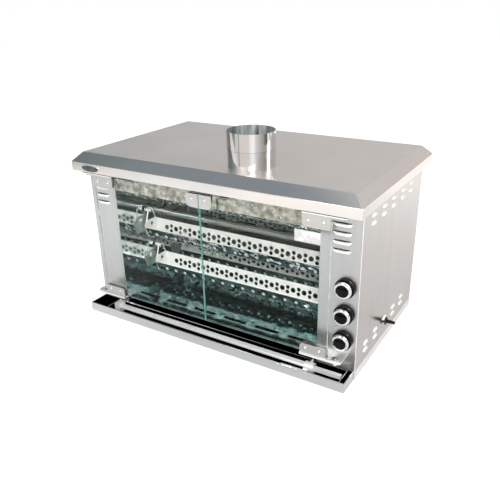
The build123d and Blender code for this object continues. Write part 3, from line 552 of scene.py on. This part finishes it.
def make_floor(middle):
    """A white floor that keeps the shadow; metal sees a painted pool of light and shade on it, and the bands
    further out.
    """
    bpy.ops.mesh.primitive_plane_add(size=FLOOR_SIZE, location=(0, 0, -FLOOR_DROP))
    floor = bpy.context.object
    floor.name = "studio_floor"
    material, tree, shader, output = shader_tree("floor_pale")
    feed(tree, shader, {"Base Color": (*(FLOOR_PALE,) * 3, 1), "Roughness": 1})
    white = sum_shaders(tree, matt(tree, FLOOR_SHADE), glow(tree, (*WHITE, 1), FLOOR_GLOW))
    place = object_place(tree)
    near = sum_shaders(tree, glow(tree, painted_pool_colour(tree, place)), matt(tree, MIRRORED_SHADE))
    ring, banded = ring_bands(tree, place, middle)
    mirrored = mix_shaders(tree, ring, near, glow(tree, banded))
    seen = mix_shaders(tree, ray_kinds(tree, "Is Camera Ray"), mirrored, white)
    direct = ray_kinds(tree, "Is Camera Ray", "Is Glossy Ray", "Is Transmission Ray")
    feed(tree, output, {"Surface": mix_shaders(tree, direct, shader.outputs[0], seen)})
    floor.data.materials.append(material)


def background(tree, colour, strength=1):
    """Light from the world."""
    return node(tree, "ShaderNodeBackground", {"Color": colour, "Strength": strength}).outputs[0]


def make_world():
    """White behind the object; metal sees upright bands, a darker ceiling and a skylight overhead."""
    world = bpy.data.worlds.new("studio")
    bpy.context.scene.world = world
    world.use_nodes = True
    tree = world.node_tree
    tree.nodes.clear()
    view = axes(tree, node(tree, "ShaderNodeTexCoord").outputs["Generated"])
    room = bands(tree, studio_turn(tree, view["X"], view["Y"]))
    for start, colour in ((CEILING_START, CEILING), (SKYLIGHT_START, SKYLIGHT)):
        room = blend(tree, spread(tree, view["Z"], 0, 1, *start), room, colour)
    room = blend(tree, spread(tree, view["Z"], 0, 1, *HORIZON), WHITE, room)
    even = background(tree, (*WHITE, 1), EVEN_LIGHT)
    metal = ray_kinds(tree, "Is Glossy Ray", "Is Transmission Ray")
    lit = mix_shaders(tree, metal, even, background(tree, room))
    lit = mix_shaders(tree, ray_kinds(tree, "Is Camera Ray"), lit, background(tree, (*WHITE, 1)))
    node(tree, "ShaderNodeOutputWorld", {0: lit})


def make_lamp(name, place, aim, size, power):
    """A soft lamp that points at a place."""
    data = bpy.data.lights.new(name, "AREA")
    data.shape = "RECTANGLE"
    data.size, data.size_y = size
    data.energy = power
    lamp = bpy.data.objects.new(name, data)
    bpy.context.scene.collection.objects.link(lamp)
    lamp.location = place
    lamp.rotation_euler = (Vector(aim) - Vector(place)).to_track_quat("-Z", "Y").to_euler()


def make_camera():
    """The photograph's viewpoint."""
    azimuth, elevation, roll = (math.radians(angle) for angle in (AZIMUTH, ELEVATION, ROLL))
    level = math.cos(elevation)
    back = Vector((math.sin(azimuth) * level, -math.cos(azimuth) * level, math.sin(elevation)))
    side = Vector((math.cos(azimuth), math.sin(azimuth), 0))
    up = back.cross(side)
    x_axis = math.cos(roll) * side + math.sin(roll) * up
    y_axis = -math.sin(roll) * side + math.cos(roll) * up
    data = bpy.data.cameras.new("camera")
    data.sensor_width = SENSOR
    data.lens = LENS
    data.clip_start = CLIP_START
    camera = bpy.data.objects.new("camera", data)
    bpy.context.scene.collection.objects.link(camera)
    turn = Matrix((x_axis, y_axis, back)).transposed().to_4x4()
    camera.matrix_world = Matrix.Translation(CAMERA_PLACE) @ turn
    bpy.context.scene.camera = camera


def cover(material, *names):
    """Give CAD nodes a material."""
    for name in names:
        data = NODES[name].data
        data.materials.clear()
        data.materials.append(material)


def stack(rings, closed=False):
    """A skin over rings of points; a ring of one point closes an end."""
    bm = bmesh.new()
    made = [[bm.verts.new(point) for point in ring] for ring in rings]
    pairs = list(zip(made, made[1:]))
    if closed:
        pairs.append((made[-1], made[0]))
    for first, second in pairs:
        for i in range(STEPS):
            turns = ((first, i), (first, i + 1), (second, i + 1), (second, i))
            bm.faces.new(dict.fromkeys(ring[k % len(ring)] for ring, k in turns))
    bmesh.ops.recalc_face_normals(bm, faces=bm.faces)
    return bm


def oval(a, b, height):
    """A ring with two half widths."""
    turns = [2 * math.pi * i / STEPS for i in range(STEPS)]
    return [(a * math.cos(t), b * math.sin(t), height) for t in turns]


def circle(radius, height):
    """A round ring."""
    return oval(radius, radius, height)


def hexagon(radius, height):
    """A six-sided ring."""
    third = math.pi / 3
    ring = []
    for x, y, z in circle(radius, height):
        reach = math.cos(third / 2) / math.cos(math.atan2(y, x) % third - third / 2)
        ring.append((x * reach, y * reach, z))
    return ring


def copies(bm, places):
    """Copies of a mesh at each place, its +Z turned to the front."""
    turn = Vector(UP).rotation_difference(Vector(FRONT)).to_matrix().to_4x4()
    first = bpy.data.meshes.new("first")
    bm.to_mesh(first)
    bm.clear()
    for place in places:
        single = bmesh.new()
        single.from_mesh(first)
        single.transform(Matrix.Translation(place) @ turn)
        moved = bpy.data.meshes.new("moved")
        single.to_mesh(moved)
        single.free()
        bm.from_mesh(moved)
        bpy.data.meshes.remove(moved)
    bpy.data.meshes.remove(first)
    return bm


def rounded_outline(width, height, radius):
    """Points round a rectangle with arcs at its corners, from the lower right."""
    points = []
    for i, (sx, sy) in enumerate(((1, -1), (1, 1), (-1, 1), (-1, -1))):
        for k in range(ARC_STEPS + 1):
            t = math.radians(i * 90 - 90 + 90 * k / ARC_STEPS)
            x = sx * (width / 2 - radius) + radius * math.cos(t)
            y = sy * (height / 2 - radius) + radius * math.sin(t)
            points.append((x, y))
    return points


def plate(width, height, radius, thickness, edge):
    """A thin plate with rounded corners and a soft front edge."""
    bm = bmesh.new()
    layers = ((0, 0), (0, thickness - edge), (edge, thickness))
    rings = []
    for inset, level in layers:
        outline = rounded_outline(width - 2 * inset, height - 2 * inset, radius - inset)
        rings.append([bm.verts.new((x, y, level)) for x, y in outline])
    count = len(rings[0])
    for first, second in zip(rings, rings[1:]):
        for i in range(count):
            j = (i + 1) % count
            bm.faces.new((first[i], first[j], second[j], second[i]))
    bm.faces.new(reversed(rings[0]))
    bm.faces.new(rings[-1])
    bmesh.ops.recalc_face_normals(bm, faces=bm.faces)
    return bm


def block(low, high):
    """A box between two corners."""
    bm = bmesh.new()
    bmesh.ops.create_cube(bm, size=1)
    size = Vector(high) - Vector(low)
    bmesh.ops.scale(bm, vec=size, verts=bm.verts)
    bmesh.ops.translate(bm, vec=Vector(low) + size / 2, verts=bm.verts)
    return bm


def settle(piece, body, slot, *replaced):
    """Let a piece ride on a body and stand for CAD nodes; the slot is not used."""
    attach(piece, body)
    if replaced:
        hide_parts(*replaced)


def add_object(name, data, material):
    """A new object in the scene with one material."""
    piece = bpy.data.objects.new(name, data)
    bpy.context.scene.collection.objects.link(piece)
    data.materials.append(material)
    return piece


def add_piece(name, bm, material, body, slot, *replaced):
    """A new piece from a mesh, riding on a body."""
    data = bpy.data.meshes.new(name)
    bm.to_mesh(data)
    bm.free()
    for polygon in data.polygons:
        polygon.use_smooth = True
    data.set_sharp_from_angle(angle=math.radians(SHARP))
    settle(add_object(name, data, material), body, slot, *replaced)


def add_bead(name, points, radius, material, body, slot, cyclic=False):
    """A rolled edge or wire along a line."""
    data = bpy.data.curves.new(name, "CURVE")
    data.dimensions = "3D"
    data.bevel_depth = radius
    data.bevel_resolution = BEAD_STEPS
    data.use_fill_caps = True
    spline = data.splines.new("POLY")
    spline.points.add(len(points) - 1)
    for point, place in zip(spline.points, points):
        point.co = (*place, 1)
    spline.use_cyclic_u = cyclic
    settle(add_object(name, data, material), body, slot)


def islands(name):
    """Lowest and highest corners of each separate solid of a node."""
    bm = bmesh.new()
    bm.from_mesh(NODES[name].data)
    bmesh.ops.remove_doubles(bm, verts=bm.verts, dist=WELD)
    left = set(bm.verts)
    found = []
    while left:
        edge = [left.pop()]
        group = list(edge)
        while edge:
            vert = edge.pop()
            for link in vert.link_edges:
                other = link.other_vert(vert)
                if other in left:
                    left.remove(other)
                    edge.append(other)
                    group.append(other)
        low = Vector([min(v.co[k] for v in group) for k in range(3)])
        high = Vector([max(v.co[k] for v in group) for k in range(3)])
        found.append((low, high))
    bm.free()
    return found


def screw_head(radius, height):
    """Button head with a hexagon socket, standing on z = 0."""
    socket = radius * SOCKET_SHARE
    rings = [[(0, 0, 0)]]
    rings += [circle(radius * wide, height * high) for wide, high in SCREW_OUTLINE]
    rings += [hexagon(socket, height), hexagon(socket * SOCKET_TAPER, height * SOCKET_FLOOR)]
    rings.append([(0, 0, height * SOCKET_TIP)])
    return stack(rings)


def make_screws():
    """Door screws with their sockets, and the small screws in the header."""
    for side in ("left", "right"):
        name = side + "_door_screws"
        boxes = islands(name)
        low, high = boxes[0]
        head = screw_head((high.x - low.x) / 2, high.y - low.y)
        places = [((a.x + b.x) / 2, b.y, (a.z + b.z) / 2) for a, b in boxes]
        add_piece(side + "_button_screws", copies(head, places), CHROME, side + "_door", "screw_chrome", name)
    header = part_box("header_rail")[0][1]
    places = [(x, header, z) for x, z in HEADER_SCREWS]
    head = screw_head(HEADER_SCREW_R, HEADER_SCREW_H)
    add_piece("header_screws", copies(head, places), CHROME, "cabinet", "screw_chrome")


def make_knob_rings():
    """Rounded chrome rings on the knobs."""
    for i in range(KNOB_COUNT):
        tag = str(i + 1)
        low, high = corners(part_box("knob_ring_" + tag))
        outer = (high.x - low.x) / 2
        inner = outer - RING_WIDTH
        deep = high.y - low.y
        rings = [circle(inner, 0)]
        rings += [circle(outer - inset, deep * level) for inset, level in RING_OUTER]
        rings += [circle(inner + inset, deep * level) for inset, level in RING_INNER]
        place = ((low.x + high.x) / 2, high.y, (low.z + high.z) / 2)
        add_piece("chrome_ring_" + tag, copies(stack(rings, closed=True), [place]), CHROME,
                  "knob_" + tag, "knob_chrome", "knob_ring_" + tag)


def make_badge():
    """Bare oval badge: a chrome rim round a dark field, on the hood's front lip."""
    low, high = corners(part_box("badge_plate"))
    a = (high.x - low.x) / 2
    b = (high.z - low.z) / 2
    place = ((low.x + high.x) / 2, high.y, (low.z + high.z) / 2)
    rings = [oval(a - inset, b - inset, BADGE_H * level) for inset, level in BADGE_OUTLINE]
    rim = copies(stack(rings, closed=True), [place])
    add_piece("badge_rim", rim, CHROME, "cabinet", "badge_metal", "badge_plate")
    a -= BADGE_RIM
    b -= BADGE_RIM
    rings = [[(0, 0, 0)]]
    rings += [oval(a * wide, b * wide, BADGE_H * level) for wide, level in FIELD_OUTLINE]
    rings.append([(0, 0, BADGE_H * FIELD_TOP)])
    field = copies(stack(rings), [place])
    add_piece("badge_field", field, ENAMEL, "cabinet", "badge_metal", "badge_plate")


def make_glass_trim():
    """Upright ground edges of the panes and the blank label plate on the right one."""
    for side in ("left", "right"):
        low, high = corners(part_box(side + "_door_glass"))
        for x, start in ((low.x, low.x - EDGE_T), (high.x, high.x)):
            strip = block((start, low.y, low.z), (start + EDGE_T, high.y, high.z))
            if abs(x) < MEETING_REACH:
                name, material = side + "_meeting_edge", EDGE
            else:
                name, material = side + "_outer_edge", PALE_EDGE_PAINTED_LIGHT
            add_piece(name, strip, material, side + "_door", "glass")
    x0, x1, z0, z1 = LABEL
    place = ((x0 + x1) / 2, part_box("right_door_glass")[0][1] - LABEL_GAP, (z0 + z1) / 2)
    blank = plate(x1 - x0, z1 - z0, LABEL_CORNER, LABEL_T, LABEL_EDGE)
    add_piece("blank_label", copies(blank, [place]), PAPER, "right_door", "magnet_plastic")


def make_seam_shadow():
    """Painted shadow: a near-black bead round the foot of the flue's collar."""
    x, y = FLUE_MIDDLE
    points = [(x + a, y + b, FLUE_LOW.z) for a, b, _ in circle(FLUE_R - SEAM_SHADOW_R, 0)]
    add_bead("collar_seam_shadow", points, SEAM_SHADOW_R, SEAM_SHADOW_PAINT, "cabinet", "hood_steel", cyclic=True)


def make_hems():
    """Rolled hems on the drawer's front trough and on the insert pan."""
    low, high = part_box("drip_tray")
    x, y, z = high[0] - HEM_R, low[1] + HEM_R, high[2] - HEM_R / 2
    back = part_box("left_front_column")[0][1]
    points = [(-x, back, z), (-x, y, z), (x, y, z), (x, back, z)]
    add_bead("trough_hem", points, HEM_R, RAIL, "tray", "tray_steel")
    low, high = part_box("insert_pan")
    x0, x1 = low[0] + PAN_HEM_R, high[0] - PAN_HEM_R
    y0, y1 = low[1] + PAN_HEM_R, high[1] - PAN_HEM_R
    z = high[2] - PAN_HEM_R / 2
    points = [(x0, y0, z), (x1, y0, z), (x1, y1, z), (x0, y1, z)]
    add_bead("pan_hem", points, PAN_HEM_R, RAIL, "tray", "tray_steel", cyclic=True)


# Studio
bpy.context.scene.view_settings.view_transform = "Standard"
FLUE_LOW, FLUE_HIGH = corners(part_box("flue_collar"))
FLUE_MIDDLE = (FLUE_LOW + FLUE_HIGH).xy / 2
FLUE_R = (FLUE_HIGH.x - FLUE_LOW.x) / 2
make_camera()
make_world()
make_floor(FLUE_MIDDLE)
for lamp in LAMPS:
    make_lamp(*lamp)

# Hood and flue
HOOD = steel("hood_sheet", (0.82, 0.795, 0.775), 0.42, tone=(0.94, 0.925, 0.91), streak=0.03,
             turned=Turned(UP, LEVEL, 0.13, 1.0))
COLLAR = flue_steel("collar_sheet", (0.73, 0.72, 0.71), 0.07, FLUE_MIDDLE, FLUE_R - COLLAR_INSIDE)
SPIGOT = flue_steel("spigot_sheet", (0.69, 0.68, 0.67), 0.07, FLUE_MIDDLE, FLUE_R - SPIGOT_INSIDE)
# Near-black material of the bead under the flue's collar: a painted shadow
SEAM_SHADOW_PAINT = plastic("seam_shadow", (0.02, 0.022, 0.022), 0.6, gloss=0.1)
ENAMEL = plastic("badge_enamel", (0.05, 0.055, 0.06), 0.18, texture=0.00001)
cover(HOOD, "hood")
cover(COLLAR, "flue_collar")
cover(SPIGOT, "flue_spigot")

# Cabinet sheets
PANEL = steel("panel_sheet_x", (0.76, 0.75, 0.735), 0.24)
# Louvres and bends of the side sheets are paler and less metallic: a painted highlight
PANEL_LEFT = steel("left_side_sheet", (0.76, 0.745, 0.73), 0.2, "Z",
                   turned=Turned(LEFT, FLAT_ON, 0.3, 0.3, LOUVRE_PAINTED_HIGHLIGHT))
# The right side sheet is darker than the left one, though the same steel: painted shade
PANEL_RIGHT_PAINTED_SHADE = steel("right_side_sheet_painted_shade", (0.68, 0.655, 0.635), 0.2, "Z",
                    turned=Turned(RIGHT, FLAT_ON, 0.3, 0.3, LOUVRE_PAINTED_HIGHLIGHT))
# Louvres and bends of the front sheets are near white and matt: a painted highlight
FRONT_SHEET = steel("front_sheet_painted_highlights", (0.60, 0.61, 0.61), 0.32, "Z",
                    turned=Turned(FRONT, FLAT_ON, 0.3, 0.1, (0.98, 0.96, 0.93)))
HEADER = steel("header_sheet", (0.66, 0.63, 0.56), 0.1, wave=0.0008, ripple=14, tone=(0.2, 0.21, 0.18),
               tone_size=16, metal=0.9)
SKIRT = steel("skirt_sheet", (0.84, 0.80, 0.765), 0.3, "Y", metal=0.3)
cover(PANEL, "back_panel", "bottom_panel", "hood_bearers")
cover(PANEL_LEFT, "left_side_panel")
cover(PANEL_RIGHT_PAINTED_SHADE, "right_side_panel")
cover(FRONT_SHEET, "left_front_column", "control_panel")
cover(HEADER, "header_rail")
cover(SKIRT, "base_rails")

# Chamber liners: their teal tint is painted reflection of the tinted glass, the floor and roof liners' dark
# colour is painted shade in the closed chamber, and the darker clouds on them are grease
LINER_PAINTED_SHADE = steel("liner_sheet", (0.33, 0.46, 0.45), 0.05, wave=0.0007, ripple=12, tone=(0.2, 0.4, 0.38),
              tone_size=13, metal=0.98)
BACK_LINER = steel("back_liner_sheet", (0.62, 0.62, 0.50), 0.06, wave=0.0007, ripple=12,
                   tone=(0.22, 0.34, 0.32), tone_size=6, metal=0.98)
END_LINER = steel("end_liner_sheet", (0.82, 0.87, 0.86), 0.04, wave=0.0004, ripple=8,
                  tone=(0.6, 0.68, 0.67), tone_size=9, metal=0.97)
cover(LINER_PAINTED_SHADE, "floor_pan", "roof_liner")
cover(BACK_LINER, "back_liner")
cover(END_LINER, "left_liner", "right_liner")

# Doors
CHROME = steel("bright_chrome", (0.9, 0.9, 0.91), 0.06, grain=0.000002, wave=0.0, smudge=0.03, streak=0.02)
GLASS = clear_glass("door_glass", (0.965, 0.985, 0.98))
# The same ground edge is teal where the panes meet and pale grey at the outer sides; the pale grey is painted
# light
EDGE = plastic("meeting_glass_edge", (0.22, 0.48, 0.45), 0.25, texture=0.00001)
PALE_EDGE_PAINTED_LIGHT = plastic("outer_glass_edge_painted_light", (0.5, 0.55, 0.54), 0.25, texture=0.00001)
PAPER = plastic("label_sheet", (0.5, 0.495, 0.49), 0.5, texture=0.00002)
FITTING = steel("fitting_plate", (0.59, 0.585, 0.56), 0.18, metal=0.92)
BRACKET = steel("bracket_plate", (0.93, 0.92, 0.90), 0.15, metal=0.6)
PALE_PLASTIC = plastic("magnet_housing", (0.62, 0.61, 0.58), 0.4)
cover(GLASS, "left_door_glass", "right_door_glass")
cover(FITTING, "left_door_fittings", "right_door_fittings")
cover(BRACKET, "door_brackets")
cover(PALE_PLASTIC, "magnetic_catches")
cover(CHROME, "left_door_screws", "right_door_screws", "pivot_pins", "badge_plate")

# Drawer and loose spit
# The tray and pan are black and brown inside, below the rim
TRAY_LOW, TRAY_HIGH = corners(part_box("drip_tray"))
TRAY_BLACK_BOX = ((TRAY_LOW.x + BLACK_INSET, TRAY_LOW.y + BLACK_INSET, TRAY_LOW.z + BLACK_INSET),
        (TRAY_HIGH.x - BLACK_INSET, None, TRAY_HIGH.z - BLACK_DROP))
TRAY = steel("tray_sheet", (0.76, 0.77, 0.775), 0.16, wave=0.0008, black_box=TRAY_BLACK_BOX)
RAIL = steel("rail_sheet", (0.82, 0.82, 0.81), 0.2)
SPIT = steel("spit_steel", (0.93, 0.925, 0.91), 0.3, metal=0.3)
FORK = steel("fork_steel", (0.97, 0.96, 0.93), 0.2, metal=0.4)
cover(TRAY, "drip_tray", "insert_pan")
cover(RAIL, "tray_runners")
cover(SPIT, "spit_bar")
cover(FORK, "spit_fork")

# Rotor and its drive
# Cradle undersides are teal and darker than the cream tops: painted shade and painted reflection of the
# chamber
CRADLE = steel("cradle_sheet", (0.985, 0.965, 0.93), 0.3, wave=0.006, ripple=14, smudge=0.03, metal=0.15,
               turned=Turned(UP, UNDERSIDE, 0.05, 1.0, (0.82, 0.86, 0.85)))
SHAFT = steel("turned_steel", (0.62, 0.63, 0.60), 0.2, metal=0.9)
BRONZE = casting("bearing_bronze", (0.55, 0.38, 0.18), 0.35)
PAINT = plastic("motor_paint", (0.06, 0.065, 0.07), 0.45)
cover(CRADLE, *numbered("cradle_", CRADLE_COUNT))
cover(SHAFT, "rotor_tube", "rotor_spiders", "motor_coupling", "gas_manifold", "inlet_pipe")
cover(BRONZE, "rotor_bearings")
cover(PAINT, "gear_motor")

# Knobs and gas side
BLACK = plastic("knob_plastic", (0.002, 0.002, 0.003), 0.16, gloss=0.14)
NOZZLE = plastic("nozzle_black", (0.003, 0.003, 0.004), 0.35, gloss=0.2)
BURNT = casting("heat_stained_steel", (0.4, 0.37, 0.33), 0.35, texture=0.00005)
BRASS = casting("valve_brass", (0.72, 0.55, 0.26), 0.3)
ALUMINIUM = steel("drawn_aluminium", (0.8, 0.81, 0.82), 0.3, "Y")
cover(BLACK, *numbered("knob_", KNOB_COUNT))
cover(CHROME, *numbered("knob_ring_", KNOB_COUNT))
cover(NOZZLE, "gas_inlet_nozzle")
cover(BURNT, "burner_tubes", "burner_deflectors", "burner_brackets")
cover(BRASS, "gas_valves", *numbered("plunger_", KNOB_COUNT))
cover(ALUMINIUM, "burner_pipes")

# Detail pieces
make_screws()
make_knob_rings()
make_badge()
make_glass_trim()
make_seam_shadow()
make_hems()
